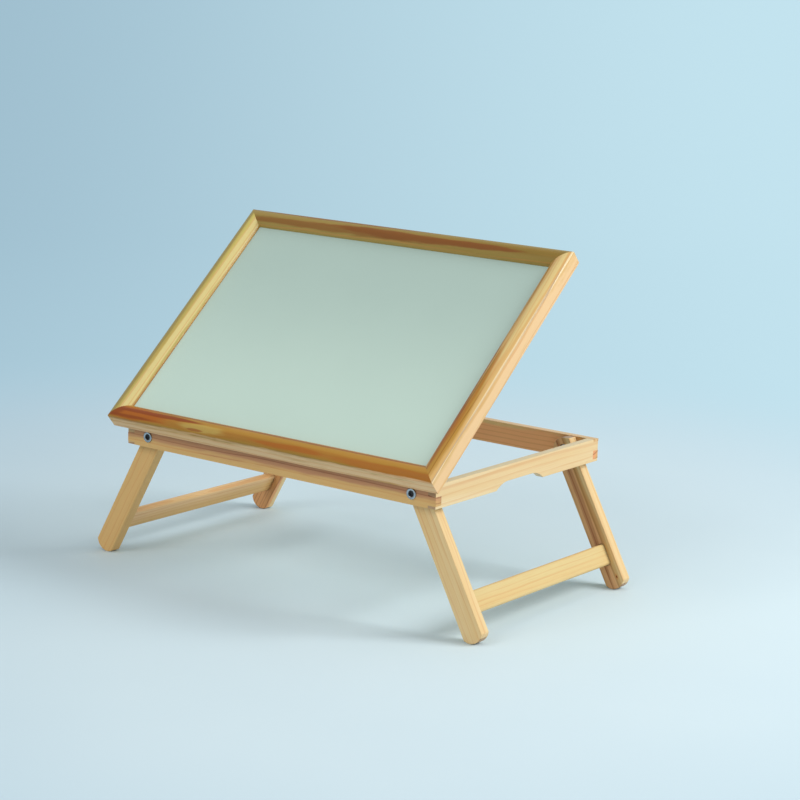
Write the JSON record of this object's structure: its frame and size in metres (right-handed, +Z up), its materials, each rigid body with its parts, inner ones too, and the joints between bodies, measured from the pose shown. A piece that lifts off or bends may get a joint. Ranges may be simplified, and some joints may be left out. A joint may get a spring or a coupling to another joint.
{
  "type": "bed tray table",
  "caption": "Wooden bed tray table with a framed tilting top on a box-jointed base, splayed folding legs with stretchers, and a hinged prop on a notched rack.",
  "frame": {"origin": "on the floor under the middle of the overall box, with the tray at the picture's tilt", "axes": "+X along the long side, +Y from the user's side towards the raised edge of the tray, +Z up"},
  "size_m": [0.6616, 0.4054, 0.4667],
  "materials": {
    "pine_rails": "clear lacquered pine, glossy",
    "pine_legs": "clear lacquered pine, glossy",
    "pine_moulding": "clear lacquered pine, glossy",
    "white_laminate": "smooth white laminate",
    "nut_chrome": "bright plated",
    "bolt_steel": "zinc plated",
    "hinge_steel": "plated steel",
    "screw_steel": "plated steel"
  },
  "bodies": {
    "base": {"front_rail": "pine_rails", "back_rail": "pine_rails", "left_side_rail": "pine_rails", "right_side_rail": "pine_rails", "prop_rack": "pine_rails", "pivot_sleeve_nuts": "nut_chrome", "pivot_bolts": "bolt_steel", "pivot_washers": "bolt_steel", "left_hinge_rail_leaf": "hinge_steel", "right_hinge_rail_leaf": "hinge_steel", "left_hinge_pin": "hinge_steel", "right_hinge_pin": "hinge_steel", "hinge_rail_screws": "screw_steel"},
    "left_legs": {"left_front_leg": "pine_legs", "left_back_leg": "pine_legs", "left_stretcher": "pine_legs"},
    "right_legs": {"right_front_leg": "pine_legs", "right_back_leg": "pine_legs", "right_stretcher": "pine_legs"},
    "tray": {"front_moulding": "pine_moulding", "back_moulding": "pine_moulding", "left_moulding": "pine_moulding", "right_moulding": "pine_moulding", "tray_panel": "white_laminate", "prop_batten": "pine_rails", "left_hinge_tray_leaf": "hinge_steel", "right_hinge_tray_leaf": "hinge_steel", "hinge_tray_screws": "screw_steel", "prop_hinge_batten_leaf": "hinge_steel", "prop_hinge_pin": "hinge_steel", "prop_hinge_batten_screws": "screw_steel"},
    "prop": {"prop_board": "pine_rails", "prop_hinge_board_leaf": "hinge_steel", "prop_hinge_board_screws": "screw_steel"}
  },
  "joints": [
    {"name": "tray_tilt", "type": "hinge", "parent": "base", "child": "tray", "pos_m": [0, -0.17811, 0.19792], "axis": [1, 0, 0], "range_deg": [-41.01, 9.12]},
    {"name": "prop_swing", "type": "hinge", "parent": "tray", "child": "prop", "pos_m": [0, -0.05696, 0.31005], "axis": [1, 0, 0], "range_deg": [-18.26, 82.05]},
    {"name": "left_legs_fold", "type": "hinge", "parent": "base", "child": "left_legs", "pos_m": [-0.2245, 0.01269, 0.18072], "axis": [0, -1, 0], "range_deg": [0, 118.44]},
    {"name": "right_legs_fold", "type": "hinge", "parent": "base", "child": "right_legs", "pos_m": [0.2245, 0.01269, 0.18072], "axis": [0, 1, 0], "range_deg": [0, 118.44]}
  ],
  "couplings": [
    {"joint": "prop_swing", "follows": "tray_tilt", "ratio": -2}
  ]
}
